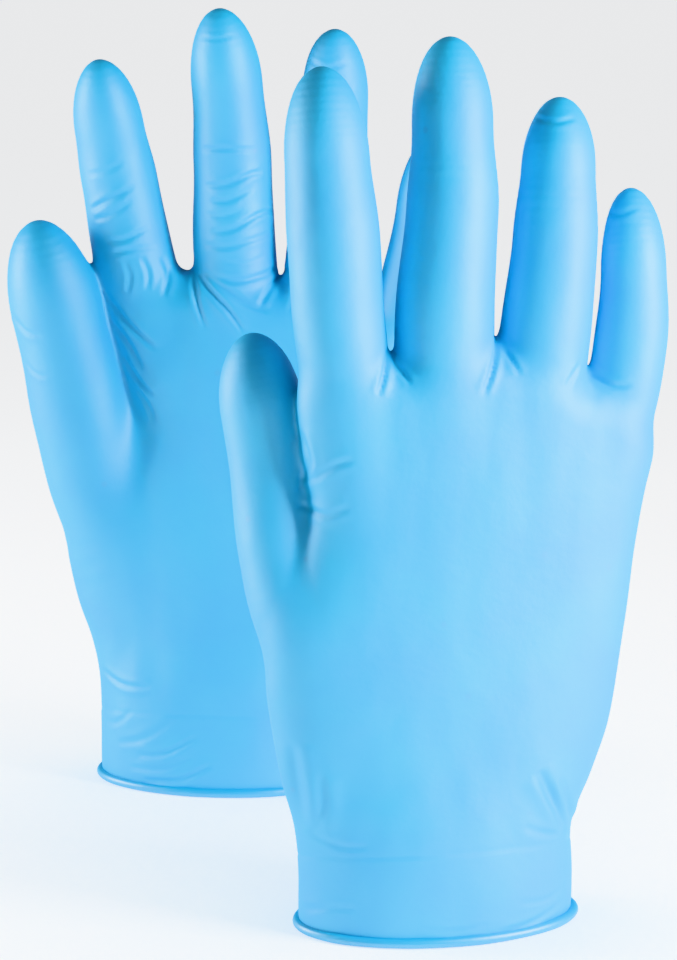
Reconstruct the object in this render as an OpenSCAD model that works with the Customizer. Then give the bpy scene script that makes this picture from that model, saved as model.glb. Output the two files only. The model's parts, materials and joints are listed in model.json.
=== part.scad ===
// A pair of disposable dipped gloves, each standing open on its cuff as if a hand filled it.
// Units are millimetres. X runs across the palms, thumbs at -X; Y runs from the front glove to the rear one;
// Z is up. The rear glove's palm faces -Y, and so does the front glove's back.
// Each glove is one thin film in reality. Here it is cut at the lines where the film folds, so that it can bend.

/* [Film] */
// Thickness of the film
film = 0.1; // [0.08:0.01:0.2]
// Thickness of the rolled bead round the cuff
bead_d = 2.8; // [2:0.1:3.4]
// Slit between two stretches of film that bend apart
slit = 0.3; // [0.2:0.05:0.5]

/* [Cuff] */
// Half the width of the open cuff
cuff_a = 38.4; // [36:0.2:40]
// Half the depth of the open cuff
cuff_b = 22.8; // [21.6:0.2:25]
// Height of the straight cuff band
cuff_h = 24; // [18:1:28]

/* [Bends] */
// Furthest bend at a digit's root, in degrees
root_bend = 60; // [20:5:60]
// Furthest bend at a digit's middle, in degrees
mid_bend = 60; // [20:5:75]
// Furthest bend near a fingertip, in degrees
tip_bend = 40; // [20:5:50]

/* [Pair] */
// How far the rear glove stands behind the front one
rear_gap = 132; // [120:1:180]
// How far the rear glove stands to the thumb side
rear_side = 63.8; // [40:1:90]
// Turn of the front glove about the upright, in degrees
front_turn = 12; // [0:1:20]
// Turn of the rear glove about the upright, in degrees
rear_turn = -6; // [-12:1:0]

/* [Hidden] */
$fn = 40;
node = "all";
SLICE = 0.02;          // thickness of the discs that hulls are drawn between
REACH = 40;            // half the size of the blocks that trim a tube
ROOT_SPARE = 1.6;      // how far round a digit the hand is trimmed at its root
BEVEL_SPARE = 2;       // degrees of extra room at each bevel
FOLD_SPARE = 1.5;      // degrees that a fold stays inside its bevels
ORIGIN = [-33.2, 65.7, 0];  // the middle of the pair's footprint, in the front cuff's frame
BACK = [0, 1, 0];      // from the palm side to the back of the hand
THUMB_BACK = [-0.5, 0.85, 0];

// Sections of the hand: height, middle x, half-width, half-depth
FRONT_HAND = [
    [cuff_h, 0, cuff_a, cuff_b], [31, -0.2, 40, 21.5], [38, 0.4, 43.2, 20], [50, 1.2, 46.7, 18.5],
    [66, 1.2, 48.7, 17.3], [84, 1.4, 49.9, 16.4], [102, 7.9, 45.9, 15.6], [120, 14, 42.8, 15],
    [134, 14.2, 45.5, 14], [146, 12.8, 48.8, 12.5], [151, 9, 44, 10], [157, 2, 33, 6]
];
REAR_HAND = [
    [cuff_h, 0, cuff_a, cuff_b], [31, 0.4, 39.1, 21.5], [42, 1.5, 41.5, 20], [56, 2, 47.5, 18.5],
    [72, 2.4, 51.1, 17.3], [88, 5.4, 50.6, 16.4], [104, 12, 46, 15.6], [122, 21, 44, 15],
    [138, 19, 48, 14], [149, 17.5, 50, 12.5], [156, 11, 41, 10], [162, 6.5, 27, 6]
];
// Digits: name, joints from the root to the tip, radii at the joints, back, roots of the stall in the hand,
// bluntness of the tip
FRONT_DIGITS = [
    ["thumb", [[-41.3, -9, 105], [-43.4, -14, 131], [-48.3, -17, 163]], [12, 11.4], THUMB_BACK,
        [[-27, 0, 62, 13], [-36.3, -4, 86, 13]], 3],
    ["index", [[-27.4, 0, 165], [-28.9, -1, 189.7], [-29.8, -4, 212], [-30.7, -8, 234.6]],
        [12.1, 12.2, 11.3], BACK, [[-20, 0, 104, 8]], 2.2],
    ["middle", [[1, 1, 169], [3.2, 0, 196], [3.9, -3, 217.4], [3.9, -7, 242]],
        [13.1, 12.1, 10.8], BACK, [[1, 0, 104, 9]], 2.2],
    ["ring", [[28.9, 1, 165], [31.3, 0, 188], [32.9, -3, 207.4], [34.8, -9, 225]],
        [11.9, 11.3, 9.8], BACK, [[23, 0, 104, 8]], 2.2],
    ["little", [[53, 0, 160], [53.8, -1, 180], [54.2, -7, 200.5]], [9.7, 8.7], BACK,
        [[41, 0, 104, 6]], 1.8]
];
REAR_DIGITS = [
    ["thumb", [[-42, -5, 113], [-47, -10, 143], [-54.2, -14, 178]], [15, 13.6], THUMB_BACK,
        [[-26, 0, 62, 13], [-36.5, -2, 89, 14.6]], 3],
    ["index", [[-26, 0, 164], [-30.4, -1, 189], [-32.6, -4, 206], [-34.9, -9, 226.5]],
        [12.3, 11.5, 10.6], BACK, [[-11, 0, 106, 8]], 2.4],
    ["middle", [[4.8, 1, 169.5], [4.6, 0, 195], [3.7, -3, 217], [1.8, -8, 242]],
        [12.6, 11.8, 10.8], BACK, [[8, 0, 106, 9]], 2.2],
    ["ring", [[32.6, 1, 167], [34.5, 0, 190], [36, -3, 211], [36.7, -8, 236]],
        [11.7, 11, 10], BACK, [[26, 0, 106, 8]], 2.4],
    ["little", [[59.6, 0, 158], [63.8, -1, 180], [66.8, -5, 204]], [10.2, 9.3], BACK,
        [[43, 0, 106, 6]], 2]
];
// Gloves: name, place, turn, sections, digits, and 1 where the palm faces the other way than the tables say
GLOVES = [
    ["front", [0, 0, 0], front_turn, FRONT_HAND, FRONT_DIGITS, 1],
    ["rear", [-rear_side, rear_gap, 0], rear_turn, REAR_HAND, REAR_DIGITS, 0]
];
// Words for the pieces of a digit with two or three joints, from the root to the tip
PIECES = [[], [], ["base", "tip"], ["base", "mid", "tip"]];

function joints_in(digit) = len(digit[2]);
function piece_name(g, digit, i) = str(g[0], "_", digit[0], "_", PIECES[joints_in(digit)][i]);
function fold_name(g, digit, i) = str(piece_name(g, digit, i), "_fold");
NODES = [
    for (g = GLOVES) each [
        str(g[0], "_hand"), str(g[0], "_cuff"), str(g[0], "_bead"),
        for (d = g[4], i = [0 : joints_in(d) - 1]) each [piece_name(g, d, i), fold_name(g, d, i)]
    ]
];

function unit(v) = v / norm(v);
function shown(name) = node == "all" || node == name;
// Columns are the side, back and along directions of a frame at p whose Z is along
function frame_at(p, along, back) =
    let (side = unit(cross(back, along)), rear = cross(along, side))
    [
        [side[0], rear[0], along[0], p[0]],
        [side[1], rear[1], along[1], p[1]],
        [side[2], rear[2], along[2], p[2]],
        [0, 0, 0, 1]
    ];
function before(digit, i) =
    let (stalls = digit[4]) i > 0 ? digit[1][i - 1] : [for (k = [0 : 2]) stalls[len(stalls) - 1][k]];
function mean_way(digit, i) =
    unit(unit(digit[1][i] - before(digit, i)) + unit(digit[1][i + 1] - digit[1][i]));
function joint_frame(digit, i) = frame_at(digit[1][i], mean_way(digit, i), digit[3]);
function bend(digit, i) = i == 0 ? root_bend : i == 1 ? mid_bend : tip_bend;
function bevel(digit, i) = bend(digit, i) / 2 + BEVEL_SPARE;

// Places a piece of one glove
module in_glove(g) translate(g[1] - ORIGIN) rotate([0, 0, g[2]]) mirror([0, g[5], 0]) children();

module oval(z, x, a, b) translate([x, 0, z]) scale([a, b, 1]) cylinder(r = 1, h = SLICE);

module disc(p, along, r) multmatrix(frame_at(p, along, BACK)) cylinder(r = r, h = SLICE, $fn = 32);

// The solid inside of the hand, up to the digits' roots; over lets it run past them
module hand_form(sections, digits, inset, over) {
    for (i = [0 : len(sections) - 2]) hull() {
        s = sections[i];
        t = sections[i + 1];
        oval(s[0] - (i == 0 && inset > 0 ? over : 0), s[1], s[2] - inset, s[3] - inset);
        oval(t[0] - (i == len(sections) - 2 ? inset : 0), t[1], t[2] - inset, t[3] - inset);
    }
    for (d = digits) {
        stalls = d[4];
        way = mean_way(d, 0);
        hull() {
            s = stalls[len(stalls) - 1];
            disc([s[0], s[1], s[2]], way, s[3] - inset);
            disc(d[1][0] + way * over, way, d[2][0] - inset);
        }
        if (len(stalls) > 1) hull() for (s = stalls) disc([s[0], s[1], s[2]], way, s[3] - inset);
    }
}

// Trims away what lies beyond a joint: straight on the back, bevelled on the palm side
module beyond(digit, i, side) {
    drop = REACH * tan(bevel(digit, i));
    multmatrix(joint_frame(digit, i)) rotate([90, 0, 90])
        linear_extrude(2 * (digit[2][i] + 1), center = true) polygon([
            [REACH, side * REACH], [REACH, -side * slit / 2],
            [0, -side * slit / 2], [-REACH, -side * (slit / 2 + drop)], [-REACH, side * REACH]
        ]);
}

// The hand and the digits' roots, as one film
module hand(g) color("lightskyblue") in_glove(g) difference() {
    hand_form(g[3], g[4], 0, 1);
    hand_form(g[3], g[4], film, 2);
    for (d = g[4]) intersection() {
        beyond(d, 0, 1);
        disc_block(d);
    }
}

// Limits a root's trimming to its own stall
module disc_block(digit)
    multmatrix(joint_frame(digit, 0)) translate([0, 0, -REACH / 2])
        cylinder(r = digit[2][0] + ROOT_SPARE, h = REACH, $fn = 32);

function oval_points(a, b) = [for (k = [0 : $fn - 1]) [a * cos(k * 360 / $fn), b * sin(k * 360 / $fn)]];

module cuff(g) color("skyblue") in_glove(g) translate([0, 0, bead_d])
    linear_extrude(cuff_h - bead_d) difference() {
        polygon(oval_points(cuff_a, cuff_b));
        polygon(oval_points(cuff_a - film, cuff_b - film));
    }

// The rolled edge: an eight-sided roll, flat underneath
module bead(g) {
    sides = 8;
    steps = 56;
    r = bead_d / 2 / cos(180 / sides);
    points = [
        for (k = [0 : steps - 1], j = [0 : sides - 1])
            let (
                turn = 360 * k / steps,
                roll = 360 * (j + 0.5) / sides,
                out = film * 3 + r * cos(roll)
            )
            [(cuff_a + out) * cos(turn), (cuff_b + out) * sin(turn), bead_d / 2 + r * sin(roll)]
    ];
    faces = [
        for (k = [0 : steps - 1], j = [0 : sides - 1])
            let (k2 = (k + 1) % steps, j2 = (j + 1) % sides)
            [k * sides + j, k * sides + j2, k2 * sides + j2, k2 * sides + j]
    ];
    color("deepskyblue") in_glove(g) polyhedron(points, faces);
}

// Outline of a closed fingertip: full round at its joint, drawn in to nothing at its end
function dome(r, length, blunt, n = 14) =
    [for (k = [0 : n]) let (s = sin(90 * k / n)) [r * sqrt(max(0, 1 - pow(s, blunt))), length * s]];

// One stretch of a digit's film, between two joints or closed at the tip
module digit_piece(g, digit, i) {
    p = digit[1][i];
    q = digit[1][i + 1];
    r = digit[2][i];
    last = i == joints_in(digit) - 1;
    length = norm(q - p);
    color("lightblue") in_glove(g) difference() {
        multmatrix(frame_at(p, unit(q - p), digit[3])) rotate_extrude()
            if (last) difference() {
                polygon(concat([[0, 0]], dome(r, length, digit[5])));
                polygon(concat([[0, -1], [r - film, -1]], dome(r - film, length - film, digit[5])));
            } else polygon([
                [r - film, 0], [r, 0], [digit[2][i + 1], length], [digit[2][i + 1] - film, length]
            ]);
        beyond(digit, i, -1);
        if (!last) beyond(digit, i + 1, 1);
    }
}

// The film that gathers on the palm side when the digit bends at joint i
module fold(g, digit, i) {
    r = digit[2][i];
    rise = REACH * tan(bevel(digit, i) - FOLD_SPARE);
    color("powderblue") in_glove(g) multmatrix(joint_frame(digit, i)) intersection() {
        rotate_extrude() translate([r - film, -r]) square([film, 2 * r]);
        rotate([90, 0, 90]) linear_extrude(2 * r + 2, center = true)
            polygon([[-slit, 0], [-REACH, -rise + slit], [-REACH, rise - slit]]);
    }
}

for (g = GLOVES) {
    if (shown(str(g[0], "_hand"))) hand(g);
    if (shown(str(g[0], "_cuff"))) cuff(g);
    if (shown(str(g[0], "_bead"))) bead(g);
    for (d = g[4], i = [0 : joints_in(d) - 1]) {
        if (shown(piece_name(g, d, i))) digit_piece(g, d, i);
        if (shown(fold_name(g, d, i))) fold(g, d, i);
    }
}
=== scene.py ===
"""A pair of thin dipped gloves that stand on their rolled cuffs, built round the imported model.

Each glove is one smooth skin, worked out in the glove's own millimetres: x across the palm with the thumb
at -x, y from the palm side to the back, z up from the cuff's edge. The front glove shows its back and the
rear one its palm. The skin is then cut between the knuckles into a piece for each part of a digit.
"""
import json
import math

import bpy
import numpy as np
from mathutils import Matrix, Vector, noise


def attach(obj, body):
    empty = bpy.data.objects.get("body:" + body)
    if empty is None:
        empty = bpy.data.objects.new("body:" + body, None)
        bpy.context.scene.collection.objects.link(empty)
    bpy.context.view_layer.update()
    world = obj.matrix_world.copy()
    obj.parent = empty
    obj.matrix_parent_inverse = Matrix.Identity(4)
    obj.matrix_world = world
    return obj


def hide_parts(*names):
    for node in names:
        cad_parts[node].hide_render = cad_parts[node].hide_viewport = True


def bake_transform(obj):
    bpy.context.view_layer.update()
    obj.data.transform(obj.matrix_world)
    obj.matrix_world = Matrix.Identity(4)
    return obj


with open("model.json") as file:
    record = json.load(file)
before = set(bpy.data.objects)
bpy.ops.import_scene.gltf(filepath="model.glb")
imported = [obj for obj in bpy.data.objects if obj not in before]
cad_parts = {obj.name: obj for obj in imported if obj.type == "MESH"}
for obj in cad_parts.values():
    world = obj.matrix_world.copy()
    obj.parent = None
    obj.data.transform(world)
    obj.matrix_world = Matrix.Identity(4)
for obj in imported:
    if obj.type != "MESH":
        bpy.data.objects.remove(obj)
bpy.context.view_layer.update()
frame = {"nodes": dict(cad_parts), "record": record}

MM = 0.001
JOINTS = {joint["name"]: joint for joint in frame["record"]["behaviour"]["joints"]}
# Lengths here are in millimetres, as are those of a glove's own frame below
STEP = 0.75      # spacing of the grid that the skin is found on
SMOOTH = 3                              # rounds of evening out the skin's points
CREASE_WIDTH = 0.62                     # the valley's half-width, as a share of the listed width
CREASE_DEPTH = 1.05                     # the valley's depth, as a share of the listed depth
DIP_LINE = 21.2                         # height of the dipping line round the cuff
DIP_TILT = 0.21                         # how steeply that line rises towards the viewer
CUFF_EDGE = 1.6                         # height at which the film goes into the roll
DIGIT_REACH = 3                         # faces this near a digit can belong to it
THUMB_SPAN = 26                         # how far a thumb's faces reach across the palm from its cut
ROLL = 1.35                             # half the thickness of the roll
ROLL_OUT = 0.55                         # how far the roll's middle lies outside the film
PALM_TOP = 11                           # how roundly the palm closes over at the webs
FINGER_BLEND = 5                        # how softly a finger runs into the palm
# The same for a thumb: the front one goes behind the hand's crisp edge
THUMB_BLEND = {"front": 3.5, "rear": 7}

# Sections of the hand: height, where its middle is across the palm, half-width, half-depth
HANDS = {
    "front": [
        (0, 0, 38.4, 22.8), (18, 0, 38.2, 22.6), (26, -0.8, 37.8, 22.3), (33, -0.4, 40.2, 21.8),
        (42, 0.7, 44.1, 20.4), (54, 1.2, 47.2, 19), (70, 1.4, 49.1, 17.8), (86, 2.9, 49.4, 16.8),
        (102, 7.4, 46.9, 16), (118, 11, 45.8, 15.3), (134, 11.2, 48.6, 14.4), (148, 11.4, 49.7, 13.4),
        (170, 11.6, 49.9, 12),
    ],
    "rear": [
        (0, 0, 38.4, 22.8), (18, 0, 38.2, 22.6), (26, 0, 37.8, 22.3), (34, 0.8, 39.6, 21.6),
        (44, 1.5, 42.5, 20.2), (56, 2, 47.5, 19), (72, 2.6, 50.8, 17.8), (88, 6.8, 49.7, 16.8),
        (104, 13.5, 46, 16), (120, 19, 45.5, 15.4), (136, 18.5, 48.5, 14.4), (150, 17.5, 50, 13.2),
        (172, 17, 50, 12),
    ],
}
# The palm's upper edge between the digits: across, height
WEBS = {
    "front": [(-60, 150), (-38, 154), (-14.2, 156), (15, 159), (41, 149), (62, 136)],
    "rear": [(-60, 136), (-34, 150), (-10.5, 160.5), (20.5, 156.5), (46, 149), (70, 136)],
}


class Digit:
    """One digit: its joints come from the record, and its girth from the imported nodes."""

    def __init__(self, glove, name, pieces, root, root_girth, lead, dome):
        self.name = name
        self.pieces = [f"{glove.side}_{name}_{word}" for word in pieces]
        self.hinges = [j for word in ("root", "middle", "end")
                       if (j := JOINTS.get(f"{glove.side}_{name}_{word}_bend"))]
        self.lead = lead
        self.dome = dome
        knots = [glove.local(hinge["pos_m"]) for hinge in self.hinges]
        last = glove.local(node_points(self.pieces[-1]))
        way = (last.mean(axis=0) - knots[-1])
        tip = last[np.argmax(last @ way)]
        self.knots = np.array(knots + [tip])
        self.girths = [girth(glove.local(node_points(piece)), self.knots[i], self.knots[i + 1])
                       for i, piece in enumerate(self.pieces)]
        self.trace(np.array(root, float), root_girth)

    def trace(self, roots, root_girth):
        """A row of balls whose hull is the digit: along a curve through the joints, then the tip's dome."""
        points = np.vstack([roots, self.knots])
        sizes = list(root_girth) + self.girths
        tip_size = self.girths[-1]
        length = np.linalg.norm(self.knots[-1] - self.knots[-2])
        dome = min(self.dome * tip_size, length + 6)
        focus = (dome ** 2 - tip_size ** 2) / dome
        centres = []
        balls = []
        for i in range(len(points) - 1):
            before = points[max(i - 1, 0)]
            after = points[min(i + 2, len(points) - 1)]
            start, end = points[i], points[i + 1]
            size_end = sizes[i + 1] if i + 1 < len(sizes) else tip_size
            for t in np.arange(0, 1, 1 / 7):
                centres.append(curve_point(before, start, end, after, t))
                balls.append(sizes[i] + (size_end - sizes[i]) * t * t * (3 - 2 * t))
        centres = np.array(centres + [points[-1]])
        balls = np.array(balls + [tip_size])
        along = np.concatenate([[0], np.cumsum(np.linalg.norm(np.diff(centres, axis=0), axis=1))])
        # Inside the dome the balls shrink as those of a long ellipse do
        total = along[-1]
        in_dome = np.linspace(total - dome, total - dome + focus, 12)
        spread = np.concatenate([along[along < total - dome], in_dome])
        reach = np.clip((spread - (total - dome)) / math.sqrt(dome ** 2 - tip_size ** 2), 0, 1)
        self.centres = np.stack([np.interp(spread, along, centres[:, k]) for k in range(3)], axis=1)
        self.balls = np.interp(spread, along, balls) * np.sqrt(1 - reach ** 2)

    def distance(self, p):
        """Distance from points to the digit's skin, less than nothing inside it."""
        best = np.full(len(p), 1e3)
        for a, b, ra, rb in zip(self.centres, self.centres[1:], self.balls, self.balls[1:]):
            line = b - a
            t = np.clip((p - a) @ line / (line @ line), 0, 1)
            gap = np.linalg.norm(p - a - t[:, None] * line, axis=1) - (ra + (rb - ra) * t)
            best = np.minimum(best, gap)
        return best


class Glove:
    """The frame of one glove, and the smooth shape that its skin follows."""

    def __init__(self, side):
        self.side = side
        axis = JOINTS[f"{side}_middle_root_bend"]["axis"]
        # -1 where the palm faces away from the viewer, so that y runs towards them
        self.way = 1 if axis[0] > 0 else -1
        self.turn = math.atan2(axis[1] * self.way, axis[0] * self.way)
        self.centre = np.zeros(3)
        bead = self.local(node_points(f"{side}_bead"))
        middle = (bead.min(axis=0) + bead.max(axis=0)) / 2
        self.centre = self.world(np.array([[middle[0], middle[1], 0]]))[0] / MM
        self.heights, self.sections = even_sections(HANDS[side])
        self.digits = [Digit(self, *facts) for facts in DIGITS[side]]

    def local(self, points):
        """From the frame's metres to the glove's own millimetres."""
        p = np.atleast_2d(np.array(points, float)) / MM - self.centre
        c, s = math.cos(self.turn), math.sin(self.turn)
        back = (p[:, 1] * c - p[:, 0] * s) * self.way
        out = np.stack([p[:, 0] * c + p[:, 1] * s, back, p[:, 2]], axis=1)
        return out if np.ndim(points) > 1 else out[0]

    def world(self, points):
        """From the glove's own millimetres to the frame's metres."""
        p = np.atleast_2d(points) * (1, self.way, 1)
        c, s = math.cos(self.turn), math.sin(self.turn)
        out = np.stack([p[:, 0] * c - p[:, 1] * s, p[:, 0] * s + p[:, 1] * c, p[:, 2]], axis=1)
        return (out + self.centre) * MM

    def palm(self, p):
        """Distance to the palm: an oval tube that closes over at the webs between the digits."""
        middle, wide, deep = (np.interp(p[:, 2], self.heights, self.sections[:, k]) for k in range(3))
        power = 2 + 0.5 * ease(40, 120, p[:, 2])
        x = np.abs(p[:, 0] - middle) / wide + 1e-6
        y = np.abs(p[:, 1]) / deep + 1e-6
        level = (x ** power + y ** power) ** (1 / power)
        slope = level ** (1 - power) * np.hypot(x ** (power - 1) / wide, y ** (power - 1) / deep)
        side = (level - 1) / np.maximum(slope, 1e-3)
        across, height = zip(*WEBS[self.side])
        top = p[:, 2] - smooth_lookup(p[:, 0], across, height)
        return -soft_min(-side, -top, PALM_TOP)

    def field(self, p):
        """Distance to the smooth shape of the whole glove, less than nothing inside it."""
        value = self.palm(p)
        for digit in self.digits:
            low = digit.centres.min(axis=0) - digit.balls.max() - 8
            high = digit.centres.max(axis=0) + digit.balls.max() + 8
            near = np.all((p > low) & (p < high), axis=1)
            soft = THUMB_BLEND[self.side] if digit.name == "thumb" else FINGER_BLEND
            value[near] = soft_min(value[near], digit.distance(p[near]), soft)
        return value


# Digits: name, pieces, points and sizes of its root inside the hand, how far before its first joint
# it starts to bend, and the length of its domed end in girths
DIGITS = {
    "front": [
        ("thumb", ("base", "tip"), [(-24, 0, 58), (-36, -4, 85)], (11, 13), 9.5, 1.9),
        ("index", ("base", "mid", "tip"), [(-18, 0, 100), (-23.5, 0, 134)], (8, 11), 6.5, 2.1),
        ("middle", ("base", "mid", "tip"), [(1, 0, 100), (1.5, 0.5, 136)], (8, 11.6), 7.5, 2.1),
        ("ring", ("base", "mid", "tip"), [(21, 0, 100), (26.5, 0.5, 134)], (8, 11), 4, 2),
        ("little", ("base", "tip"), [(39, 0, 100), (48, 0, 132)], (6, 9.5), 7.5, 2.5),
    ],
    "rear": [
        ("thumb", ("base", "tip"), [(-22, 0, 58), (-36.5, -2, 89)], (11, 14.7), 9.5, 2),
        ("index", ("base", "mid", "tip"), [(-9, 0, 102), (-17, 0, 134)], (8, 11.2), 1.5, 2.1),
        ("middle", ("base", "mid", "tip"), [(8, 0, 102), (7, 0.5, 136)], (8, 11.4), 7, 2.1),
        ("ring", ("base", "mid", "tip"), [(25, 0, 102), (30, 0.5, 134)], (8, 11), 4.5, 2.1),
        ("little", ("base", "tip"), [(42, 0, 102), (52.5, 0, 132)], (6, 9.5), 6, 2.4),
    ],
}


def node_points(name):
    """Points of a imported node, in metres."""
    data = frame["nodes"][name].data
    points = np.empty(len(data.vertices) * 3)
    data.vertices.foreach_get("co", points)
    return points.reshape(-1, 3)


def girth(points, start, end):
    """Half the thickness of a stretch of a digit, near the joint that it starts at."""
    way = (end - start) / np.linalg.norm(end - start)
    along = (points - start) @ way
    off = np.linalg.norm(points - start - along[:, None] * way, axis=1)
    near = along < 0.4 * np.linalg.norm(end - start)
    return float(np.max(off[near]))


def ease(low, high, x):
    """Goes smoothly from 0 to 1 between low and high."""
    t = np.clip((x - low) / (high - low), 0, 1)
    return t * t * (3 - 2 * t)


def soft_min(a, b, width):
    """The smaller of two distances, rounded over where they are alike."""
    near = np.maximum(width - np.abs(a - b), 0) / width
    return np.minimum(a, b) - near ** 2 * width / 4


def curve_point(before, start, end, after, t):
    """A point on the curve that runs evenly through four points."""
    return 0.5 * (2 * start + (end - before) * t + (2 * before - 5 * start + 4 * end - after) * t ** 2
                  + (3 * start - before - 3 * end + after) * t ** 3)


def even_sections(rows):
    """The hand's sections every half millimetre, with their corners rounded off."""
    rows = np.array(rows, float)
    heights = np.arange(rows[0, 0], rows[-1, 0], 0.5)
    table = np.stack([np.interp(heights, rows[:, 0], rows[:, k]) for k in (1, 2, 3)], axis=1)
    window = np.ones(17) / 17
    for _ in range(3):
        padded = np.pad(table, ((8, 8), (0, 0)), mode="edge")
        table = np.stack([np.convolve(padded[:, k], window, mode="valid") for k in range(3)], axis=1)
    return heights, table


def smooth_lookup(x, xs, ys):
    """Interpolates between points with level ground at each of them."""
    xs = np.array(xs, float)
    ys = np.array(ys, float)
    i = np.clip(np.searchsorted(xs, x) - 1, 0, len(xs) - 2)
    t = ease(0, 1, (x - xs[i]) / (xs[i + 1] - xs[i]))
    return ys[i] + (ys[i + 1] - ys[i]) * t


# --- the skin ---------------------------------------------------------------------------------------------

def surface_net(values):
    """Points, in grid steps, and four-sided faces of the surface where sampled values are nothing."""
    inside = values < 0
    cells = np.array(values.shape) - 1
    total = np.zeros((cells.prod(), 3))
    count = np.zeros(cells.prod())
    quads = []
    for k in range(3):
        lower = [slice(None)] * 3
        upper = [slice(None)] * 3
        lower[k], upper[k] = slice(0, -1), slice(1, None)
        a, b = values[tuple(lower)], values[tuple(upper)]
        at = np.argwhere(inside[tuple(lower)] != inside[tuple(upper)])
        va, vb = a[tuple(at.T)], b[tuple(at.T)]
        spot = at.astype(float)
        spot[:, k] += va / (va - vb)
        ring = []
        good = np.ones(len(at), bool)
        for dm, dn in ((0, 0), (1, 0), (1, 1), (0, 1)):
            cell = at.copy()
            cell[:, (k + 1) % 3] -= dm
            cell[:, (k + 2) % 3] -= dn
            held = np.all((cell >= 0) & (cell < cells), axis=1)
            index = np.ravel_multi_index(tuple(np.clip(cell, 0, cells - 1).T), tuple(cells))
            for axis in range(3):
                total[:, axis] += np.bincount(index[held], spot[held, axis], len(total))
            count += np.bincount(index[held], minlength=len(count))
            ring.append(index)
            good &= held
        ring = np.stack(ring, axis=1)
        ring[va > 0] = ring[va > 0][:, ::-1]
        quads.append(ring[good])
    quads = np.concatenate(quads)
    used = np.unique(quads)
    renumber = np.zeros(len(count), int)
    renumber[used] = np.arange(len(used))
    return total[used] / count[used][:, None], renumber[quads]


def slopes(field, p, reach=0.05):
    """Which way the field rises, and how fast."""
    return np.stack([(field(p + step) - field(p - step)) / (2 * reach)
                     for step in np.eye(3) * reach], axis=1)


def ring_sums(quads, values, size):
    """Sum over each point's neighbours, and how many it has."""
    total = np.zeros((size, values.shape[1]))
    count = np.zeros(size)
    for i in range(4):
        for j in ((i + 1) % 4, (i - 1) % 4):
            for axis in range(values.shape[1]):
                total[:, axis] += np.bincount(quads[:, i], values[quads[:, j], axis], size)
            count += np.bincount(quads[:, i], minlength=size)
    return total, count


def facing(points, quads):
    """Outward direction at each point."""
    a, b, c, d = (points[quads[:, i]] for i in range(4))
    flat = np.cross(c - a, d - b)
    out = np.zeros_like(points)
    for i in range(4):
        for axis in range(3):
            out[:, axis] += np.bincount(quads[:, i], flat[:, axis], len(points))
    return out / np.maximum(np.linalg.norm(out, axis=1), 1e-9)[:, None]


def find_skin(glove):
    """The glove's skin as evenly spread points on its smooth shape."""
    furthest = np.array([d.centres.max(axis=0) + d.balls.max() for d in glove.digits])
    nearest = np.array([d.centres.min(axis=0) - d.balls.max() for d in glove.digits])
    hand_low, hand_high = [-55, -26, 0], [60, 26, 0]
    low = np.minimum(nearest.min(axis=0), hand_low) - 2 * STEP
    high = np.maximum(furthest.max(axis=0), hand_high) + 2 * STEP
    low[2] = CUFF_EDGE - STEP / 2
    size = np.ceil((high - low) / STEP).astype(int)
    ticks = (low[k] + STEP * np.arange(size[k]) for k in range(3))
    grid = np.stack(np.meshgrid(*ticks, indexing="ij"), axis=-1)
    values = np.empty(size)
    for i in range(size[0]):
        values[i] = glove.field(grid[i].reshape(-1, 3)).reshape(size[1:])
    points, quads = surface_net(values)
    points = low + STEP * points
    rim = points[:, 2] < CUFF_EDGE + STEP * 0.6
    for turn in range(SMOOTH + 1):
        if turn:
            out = facing(points, quads)
            total, count = ring_sums(quads, points, len(points))
            shift = total / count[:, None] - points
            shift -= out * np.sum(shift * out, axis=1)[:, None]
            points = points + 0.6 * shift * ~rim[:, None]
        slope = slopes(glove.field, points)
        value = glove.field(points)
        move = slope * (value / np.maximum(np.sum(slope ** 2, axis=1), 0.2))[:, None]
        points = points - np.clip(move, -STEP, STEP)
        points[rim, 2] = CUFF_EDGE
    return points, quads


# --- creases ----------------------------------------------------------------------------------------------

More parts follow.
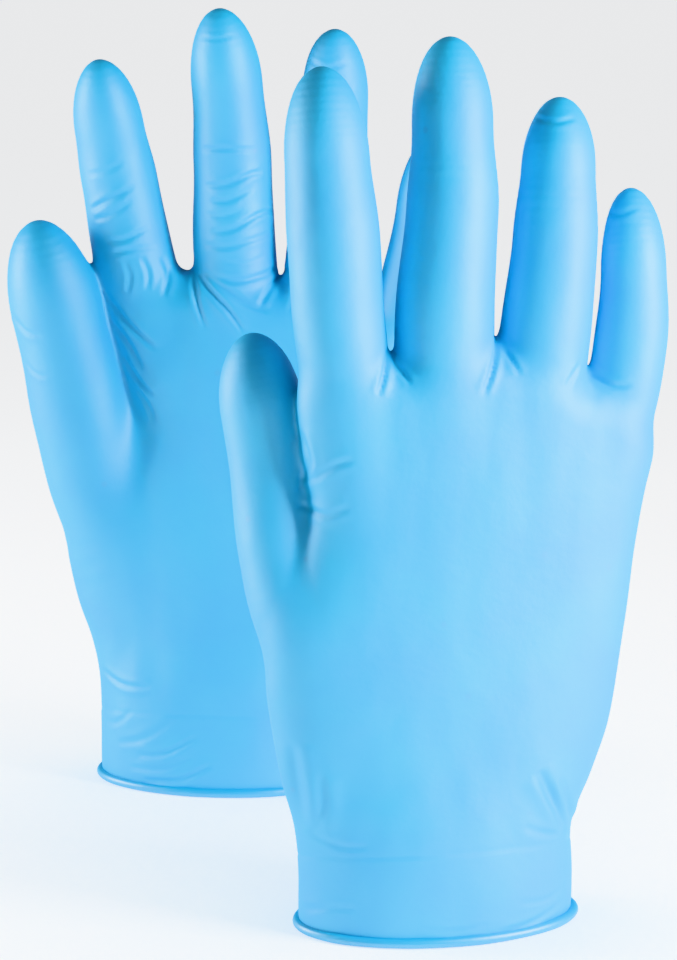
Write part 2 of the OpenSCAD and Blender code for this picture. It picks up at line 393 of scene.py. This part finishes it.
# Each crease of the side that shows: its course as (across, height), how deep and how wide, in millimetres
CREASES = {
    "front": [
        # the roots of the fingers
        ([(-15.5, 161), (-17, 156), (-19.5, 150)], 0.8, 1.1),
        ([(-14, 158), (-10.5, 152.5)], 0.45, 1.0),
        ([(14.5, 163), (12, 157), (8.5, 149.5)], 0.8, 1.1),
        ([(16, 160), (19, 154)], 0.4, 1.0),
        ([(36, 156), (31.5, 150.5)], 0.45, 1.1),
        ([(40.5, 152), (45.5, 149.5), (50.5, 149.5)], 0.6, 1.1),
        # the web of the thumb
        ([(-38.5, 140), (-36.5, 131), (-38, 122)], 0.5, 1.0),
        ([(-37.5, 125), (-31, 131), (-26, 133)], 0.35, 1.3),
        ([(-38.5, 119), (-33, 117.5), (-27, 120)], 0.35, 1.3),
        # where the hand narrows to the cuff
        ([(24, 46), (29, 37), (34.5, 26)], 1.1, 2.3),
        ([(31, 43), (34, 34), (37, 27)], 0.7, 1.7),
        ([(20, 31), (27, 27.5), (35, 25.5)], 0.35, 1.4),
        ([(-42, 55), (-40.5, 43), (-38, 31)], 0.9, 2.4),
        ([(-35, 47), (-34.5, 38), (-36.5, 29)], 0.5, 2.0),
        ([(-37, 30), (-30, 27.5), (-23, 28)], 0.25, 1.2),
        # above the roll
        ([(-38, 7), (-33, 9.5), (-26, 10.5)], 0.3, 1.2),
        ([(-10, 5.5), (0, 4.2), (9, 5.5)], 0.22, 1.0),
        ([(12, 2.6), (22, 3.6), (33, 6.5)], 0.28, 1.1),
        ([(18, 10), (27, 9), (34, 11)], 0.18, 1.1),
        # the fingertips
        ([(26, 220.5), (31, 219.6), (36.5, 220.6)], 0.35, 0.9),
        ([(43.5, 196), (48, 194.2), (53.5, 196)], 0.3, 0.9),
    ],
    "rear": [
        # the middle finger
        ([(-3.5, 200), (4, 200.5), (13, 200)], 0.45, 1.0),
        ([(-2.5, 189), (4, 189.5), (11, 192.5), (14.5, 193)], 0.6, 1.1),
        ([(-1, 184.5), (5, 184.8), (12, 188.5)], 0.6, 1.1),
        ([(-2.5, 180.5), (3, 179.8), (9, 182)], 0.35, 1.0),
        ([(-1, 175), (6, 176), (13, 180), (17, 181)], 0.65, 1.1),
        ([(-3, 171), (4, 170.5), (11, 172.5), (16.5, 174)], 0.5, 1.1),
        ([(-3, 162.5), (6, 160.3), (14, 161.5), (18.5, 163.5)], 0.55, 1.3),
        ([(3, 166), (10, 165.5), (15, 167.5)], 0.3, 1.0),
        # the index finger
        ([(-38, 181), (-32, 184.5), (-24, 188.5)], 0.6, 1.1),
        ([(-37, 178), (-31, 180), (-25, 184)], 0.4, 1.0),
        ([(-38.5, 192), (-32, 193.5), (-27, 196)], 0.3, 1.1),
        ([(-33, 172), (-27, 172.5), (-20, 176)], 0.45, 1.1),
        ([(-31, 168), (-25, 169.5), (-18, 170)], 0.35, 1.0),
        ([(-27, 166), (-25.5, 161), (-26.5, 156)], 0.4, 1.1),
        ([(-22, 167), (-20, 162), (-20.5, 157)], 0.45, 1.1),
        ([(-16.5, 167), (-14.5, 161), (-15.5, 155)], 0.45, 1.1),
        # folds that spread from the roots of the middle finger
        ([(-7, 163), (-5.5, 155), (-2.5, 146)], 0.6, 1.2),
        ([(-7, 163.5), (0, 156), (5, 151), (9.5, 145)], 0.75, 1.3),
        ([(-5, 163), (3, 158), (10, 153.5), (17, 151)], 0.55, 1.3),
        ([(21.5, 163.5), (17, 158), (14, 152)], 0.5, 1.2),
        ([(23, 163), (24.5, 157), (23.5, 151)], 0.45, 1.2),
        # the web of the thumb
        ([(-34.5, 156), (-27, 147), (-18, 139)], 0.6, 1.4),
        ([(-32, 147), (-27, 141), (-22, 132.5)], 0.5, 1.2),
        ([(-28.5, 136), (-24, 129.5), (-19, 124.5)], 0.55, 1.2),
        ([(-25, 127), (-21, 122), (-18.5, 116)], 0.35, 1.1),
        # the thumb
        ([(-61, 150), (-56, 145.5), (-51, 144)], 0.35, 1.2),
        ([(-58, 136), (-53, 132), (-49, 132)], 0.25, 1.1),
        # the wrist and cuff
        ([(-36.5, 36), (-29, 33.2), (-20, 33.5)], 0.5, 1.2),
        ([(-24, 11.5), (-15, 13), (-5, 19)], 0.6, 1.3),
        ([(-27, 7), (-16, 8), (-6, 12.5)], 0.35, 1.1),
        ([(-22, 3.6), (-10, 5), (0, 10.5)], 0.55, 1.2),
        ([(-31, 14), (-22, 17), (-12, 24)], 0.3, 1.5),
        ([(-36, 19), (-31, 20.5), (-26, 25)], 0.25, 1.3),
        # the fingertips
        ([(-3, 234), (2, 233.2), (7, 234.6)], 0.15, 0.9),
        ([(29, 227), (35, 225), (41, 226.5)], 0.3, 1.0),
        ([(31, 219), (37, 218.2), (43, 219.5)], 0.3, 1.0),
    ],
}
# The same for the hidden side of either glove
HIDDEN_CREASES = [
    ([(-15, 160), (-17, 152), (-20, 143)], 0.6, 1.4),
    ([(13.5, 162), (12, 153), (13, 144)], 0.6, 1.4),
    ([(38, 155), (34, 147), (30, 140)], 0.5, 1.3),
    ([(-34, 40), (-28, 33), (-20, 29)], 0.6, 1.7),
    ([(35, 42), (29, 34), (19, 29)], 0.6, 1.7),
    ([(-25, 12), (-12, 8), (0, 9)], 0.35, 1.3),
    ([(9, 17), (20, 12), (30, 13)], 0.3, 1.3),
]


def crease_depth(across, height, course, depth, width):
    """How far a crease moves the film outwards: up at its lips, and down in its valley."""
    course = np.array(course, float)
    ends = np.vstack([2 * course[0] - course[1], course, 2 * course[-1] - course[-2]])
    line = np.array([curve_point(*ends[i:i + 4], t)
                     for i in range(len(course) - 1) for t in np.arange(0, 1, 0.2)] + [course[-1]])
    out = np.zeros(len(across))
    margin = 4 * width
    low, high = line.min(axis=0) - margin, line.max(axis=0) + margin
    near = (across > low[0]) & (across < high[0]) & (height > low[1]) & (height < high[1])
    p = np.stack([across[near], height[near]], axis=1)
    best = np.full(len(p), 1e3)
    place = np.zeros(len(p))
    for i, (a, b) in enumerate(zip(line, line[1:])):
        step = b - a
        t = np.clip((p - a) @ step / (step @ step), 0, 1)
        gap = np.linalg.norm(p - a - t[:, None] * step, axis=1)
        closer = gap < best
        best[closer] = gap[closer]
        place[closer] = (i + t[closer]) / (len(line) - 1)
    fade = np.clip(4 * place * (1 - place), 0, 1) ** 0.5
    valley = np.exp(-(best / (CREASE_WIDTH * width)) ** 2)
    lips = np.exp(-((best - 1.3 * width) / (0.9 * width)) ** 2)
    out[near] = CREASE_DEPTH * depth * fade * (0.5 * lips - valley)
    return out


def relief(glove, points, normals):
    """How far creases, the dipping line and slack in the film move each point of the skin outwards."""
    across, height = points[:, 0], points[:, 2]
    shown = ease(-0.25, 0.25, -normals[:, 1] * glove.way)
    lift = np.zeros(len(points))
    for course, depth, width in CREASES[glove.side]:
        lift += shown * crease_depth(across, height, course, depth, width)
    for course, depth, width in HIDDEN_CREASES:
        lift += (1 - shown) * crease_depth(across, height, course, depth, width)
    line = DIP_LINE - DIP_TILT * points[:, 1] * glove.way
    lift -= 0.16 * np.exp(-((height - line) / 0.55) ** 2)
    lift += 0.12 * ease(0.6, -0.6, height - line) * ease(2, 6, height)
    slack = np.array([noise.noise(tuple(p * (0.045, 0.045, 0.03))) for p in points])
    ripple = np.array([noise.noise(tuple(p * (0.12, 0.12, 0.07) + 9)) for p in points])
    wrist = np.exp(-((height - 34) / 18) ** 2)
    return lift + (0.5 + 0.7 * wrist) * slack + (0.16 + 0.25 * wrist) * ripple


# --- pieces -----------------------------------------------------------------------------------------------

def add_mesh(name, points, faces, material, normals=None):
    """A smooth-shaded piece from points in metres."""
    mesh = bpy.data.meshes.new(name)
    mesh.from_pydata(points.tolist(), [], faces.tolist())
    mesh.polygons.foreach_set("use_smooth", np.ones(len(mesh.polygons), bool))
    mesh.materials.append(material)
    if normals is not None:
        mesh.normals_split_custom_set_from_vertices(normals.tolist())
    piece = bpy.data.objects.new(name, mesh)
    bpy.context.scene.collection.objects.link(piece)
    return piece


def cut_out(name, skin, chosen, material):
    """One piece of a skin: the chosen faces, shaded as the whole skin is."""
    points, quads, normals = skin
    used = np.unique(quads[chosen])
    renumber = np.zeros(len(points), int)
    renumber[used] = np.arange(len(used))
    return add_mesh(name, points[used], renumber[quads[chosen]], material, normals[used])


def build_glove(glove, film, rolled_film):
    """The skin, cut into the hand and each digit's pieces, and the rolled edge."""
    points, quads = find_skin(glove)
    normals = facing(points, quads)
    points = points + normals * relief(glove, points, normals)[:, None]
    middles = points[quads].mean(axis=1)
    # A glove that is mirrored has its faces wound the other way
    quads = quads[:, ::glove.way]
    skin = (glove.world(points), quads, facing(glove.world(points), quads))
    root = f"{glove.side}_glove"
    owner = np.zeros(len(quads), int)
    gaps = np.stack([digit.distance(middles) for digit in glove.digits])
    bends = []
    for d, digit in enumerate(glove.digits):
        mine = (gaps.argmin(axis=0) == d) & (gaps[d] < DIGIT_REACH)
        bodies = [root] + digit.pieces
        for i, (start, end, way, cut) in enumerate(bend_zones(digit)):
            beyond = mine & ((middles - cut) @ way > 0)
            if i == 0 and digit.name == "thumb":
                beyond &= middles[:, 0] < cut[0] + THUMB_SPAN
            bends.append((bodies[i], bodies[i + 1], glove.world(np.array([start, end]))))
            owner[beyond] = len(bends)
    for number, (before, body, ends) in enumerate(bends, 1):
        piece = cut_out(body + "_skin", skin, owner == number, film)
        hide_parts(body, body + "_fold")
        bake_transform(piece)
    hand = cut_out(f"{glove.side}_hand_skin", skin, owner == 0, film)
    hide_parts(f"{glove.side}_hand", f"{glove.side}_cuff")
    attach(hand, root)
    build_roll(glove, rolled_film)


def build_roll(glove, rolled_film):
    """The rolled edge of the cuff: film wound on itself, with the free edge showing as a lip along it."""
    steps, sides = 480, 30
    turn = np.repeat(np.arange(steps) * 2 * math.pi / steps, sides)
    winding = np.tile(np.arange(sides) * 2 * math.pi / sides, steps)
    middle, wide, deep = (np.interp(CUFF_EDGE, glove.heights, glove.sections[:, k]) for k in range(3))
    wander = np.array([noise.noise((3 * math.cos(t), 3 * math.sin(t), 5.0)) for t in turn])
    size = ROLL * (1 + 0.07 * wander)
    lip = (winding / (2 * math.pi) + 0.31 + 0.05 * wander) % 1
    size = size * (0.93 + 0.1 * lip)
    out = ROLL_OUT + size * np.cos(winding)
    normal = np.stack([np.cos(turn) / wide, np.sin(turn) / deep], axis=1)
    normal /= np.linalg.norm(normal, axis=1)[:, None]
    x = middle + wide * np.cos(turn) + normal[:, 0] * out
    y = deep * np.sin(turn) + normal[:, 1] * out
    z = ROLL + size * np.sin(winding)
    i, j = np.meshgrid(np.arange(steps), np.arange(sides), indexing="ij")
    ring, next_ring, next_j = i * sides, (i + 1) % steps * sides, (j + 1) % sides
    quads = np.stack([ring + j, next_ring + j, next_ring + next_j, ring + next_j], axis=-1)
    quads = quads.reshape(-1, 4)[:, ::glove.way]
    points = glove.world(np.stack([x, y, np.maximum(z, 0)], axis=1))
    roll = add_mesh(f"{glove.side}_rolled_edge", points, quads, rolled_film)
    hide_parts(f"{glove.side}_bead")
    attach(roll, f"{glove.side}_glove")


def bend_zones(digit):
    """For each joint: where its bend starts and ends, its direction, and where the skin is cut."""
    knots = digit.knots
    zones = []
    for i in range(len(digit.pieces)):
        way = knots[i + 1] - (knots[i - 1] if i else digit.centres[0])
        way = way / np.linalg.norm(way)
        ahead = np.linalg.norm(knots[i + 1] - knots[i])
        behind = np.linalg.norm(knots[i] - knots[i - 1]) if i else None
        after = 0.52 * ahead if i + 1 < len(digit.pieces) else min(0.5 * ahead, 11)
        lead = digit.lead if i == 0 else 0.44 * behind
        start = knots[i] - way * lead
        zones.append((start, knots[i] + way * after, way, start - way * 0.8))
    return zones


def add_node(tree, kind, **inputs):
    """A shader node with its inputs set by name."""
    node = tree.nodes.new(kind)
    for name, value in inputs.items():
        node.inputs[name.replace("_", " ")].default_value = value
    return node


def make_film(name, thin, thick, gloss, see_through):
    """Satin dipped rubber: blue that is a little uneven, finely pebbled, and lets some light through."""
    film = bpy.data.materials.new(name)
    film.use_nodes = True
    tree = film.node_tree
    link = tree.links.new
    shader = tree.nodes["Principled BSDF"]
    shader.inputs["IOR"].default_value = 1.7
    shader.inputs["Specular IOR Level"].default_value = 1
    place = tree.nodes.new("ShaderNodeNewGeometry").outputs["Position"]

    cloud = add_node(tree, "ShaderNodeTexNoise", Scale=42.0, Detail=3.0, Roughness=0.55)
    link(place, cloud.inputs["Vector"])
    tint = tree.nodes.new("ShaderNodeMix")
    tint.data_type = "RGBA"
    tint.inputs["A"].default_value = (*thin, 1)
    tint.inputs["B"].default_value = (*thick, 1)
    link(cloud.outputs["Fac"], tint.inputs["Factor"])

    specks = add_node(tree, "ShaderNodeTexVoronoi", Scale=60.0)
    link(place, specks.inputs["Vector"])
    dot = add_node(tree, "ShaderNodeMapRange", From_Min=0.035, From_Max=0.075, To_Min=0.55, To_Max=0.0)
    link(specks.outputs["Distance"], dot.inputs["Value"])
    marked = tree.nodes.new("ShaderNodeMix")
    marked.data_type = "RGBA"
    marked.inputs["B"].default_value = (0.02, 0.28, 0.55, 1)
    link(dot.outputs["Result"], marked.inputs["Factor"])
    link(tint.outputs["Result"], marked.inputs["A"])
    link(marked.outputs["Result"], shader.inputs["Base Color"])

    shine = add_node(tree, "ShaderNodeMapRange", To_Min=gloss - 0.05, To_Max=gloss + 0.07)
    link(cloud.outputs["Fac"], shine.inputs["Value"])
    link(shine.outputs["Result"], shader.inputs["Roughness"])

    grain = add_node(tree, "ShaderNodeTexNoise", Scale=900.0, Detail=2.0, Roughness=0.6)
    link(place, grain.inputs["Vector"])
    pucker = add_node(tree, "ShaderNodeTexNoise", Scale=210.0, Detail=3.0, Roughness=0.5)
    link(place, pucker.inputs["Vector"])
    fine = add_node(tree, "ShaderNodeBump", Strength=0.25, Distance=0.00006)
    link(grain.outputs["Fac"], fine.inputs["Height"])
    broad = add_node(tree, "ShaderNodeBump", Strength=0.5, Distance=0.0003)
    link(pucker.outputs["Fac"], broad.inputs["Height"])
    link(fine.outputs["Normal"], broad.inputs["Normal"])
    link(broad.outputs["Normal"], shader.inputs["Normal"])

    glow = tree.nodes.new("ShaderNodeBsdfTranslucent")
    glow.inputs["Color"].default_value = (*thick, 1)
    blend = add_node(tree, "ShaderNodeMixShader")
    blend.inputs[0].default_value = see_through
    link(shader.outputs[0], blend.inputs[1])
    link(glow.outputs[0], blend.inputs[2])
    link(blend.outputs[0], tree.nodes["Material Output"].inputs["Surface"])
    return film


# --- stage ------------------------------------------------------------------------------------------------

def pale(name, colour, glow):
    """A matt material that shines a little by itself, so that it stays near white."""
    material = bpy.data.materials.new(name)
    material.use_nodes = True
    shader = material.node_tree.nodes["Principled BSDF"]
    shader.inputs["Base Color"].default_value = (*colour, 1)
    shader.inputs["Roughness"].default_value = 0.9
    shader.inputs["Specular IOR Level"].default_value = 0.1
    shader.inputs["Emission Color"].default_value = (1, 1, 1, 1)
    shader.inputs["Emission Strength"].default_value = glow
    return material


def add_sheet(name, corners, material):
    """A flat part of the stage."""
    mesh = bpy.data.meshes.new(name)
    mesh.from_pydata(corners, [], [(0, 1, 2, 3)])
    mesh.materials.append(material)
    sheet = bpy.data.objects.new(name, mesh)
    bpy.context.scene.collection.objects.link(sheet)


def add_light(name, place, aim, size, watts):
    """A soft rectangular light, pointed at a place."""
    data = bpy.data.lights.new(name, "AREA")
    data.shape = "RECTANGLE"
    data.size, data.size_y = size
    data.energy = watts
    light = bpy.data.objects.new(name, data)
    light.location = place
    light.rotation_euler = (Vector(aim) - Vector(place)).to_track_quat("-Z", "Y").to_euler()
    bpy.context.scene.collection.objects.link(light)


def make_stage():
    """A pale floor, a softbox close by on each side, and even light all round."""
    far = 14
    add_sheet("floor", [(-far, -far, 0), (far, -far, 0), (far, far, 0), (-far, far, 0)],
              pale("floor", (0.92, 0.93, 0.94), 0.52))
    world = bpy.data.worlds.new("studio")
    bpy.context.scene.world = world
    world.use_nodes = True
    air = world.node_tree.nodes["Background"]
    air.inputs["Color"].default_value = (0.95, 0.97, 1, 1)
    air.inputs["Strength"].default_value = 0.22
    add_light("right_softbox", (0.36, -0.22, 0.22), (0.045, -0.06, 0.13), (0.16, 0.32), 4)
    add_light("left_softbox", (-0.55, 0.03, 0.2), (-0.03, 0.03, 0.11), (0.2, 0.3), 3.4)
    bpy.context.scene.view_settings.view_transform = "Khronos PBR Neutral"
    bpy.context.scene.view_settings.exposure = 0.3


def make_camera(front):
    """Looks down on the gloves by 12 degrees from 0.85 m in front of the front glove."""
    pitch = math.radians(12)
    away = 0.85
    view_height = 0.258065              # how much of the gloves' height the frame takes in
    target = np.array([front.centre[0] - 27, front.centre[1], 124]) * MM
    data = bpy.data.cameras.new("camera")
    data.sensor_fit = "VERTICAL"
    data.sensor_height = 36
    data.lens = data.sensor_height * away / view_height
    camera = bpy.data.objects.new("camera", data)
    camera.location = target + away * np.array([0, -math.cos(pitch), math.sin(pitch)])
    camera.rotation_euler = (math.pi / 2 - pitch, 0, 0)
    bpy.context.scene.collection.objects.link(camera)
    bpy.context.scene.camera = camera


film = make_film("film", (0.0, 0.45, 0.72), (0.0, 0.34, 0.66), 0.58, 0.1)
rolled_film = make_film("rolled_film", (0.0, 0.33, 0.55), (0.0, 0.26, 0.5), 0.45, 0.04)
gloves = [Glove(side) for side in ("front", "rear")]
for glove in gloves:
    build_glove(glove, film, rolled_film)
make_stage()
make_camera(gloves[0])
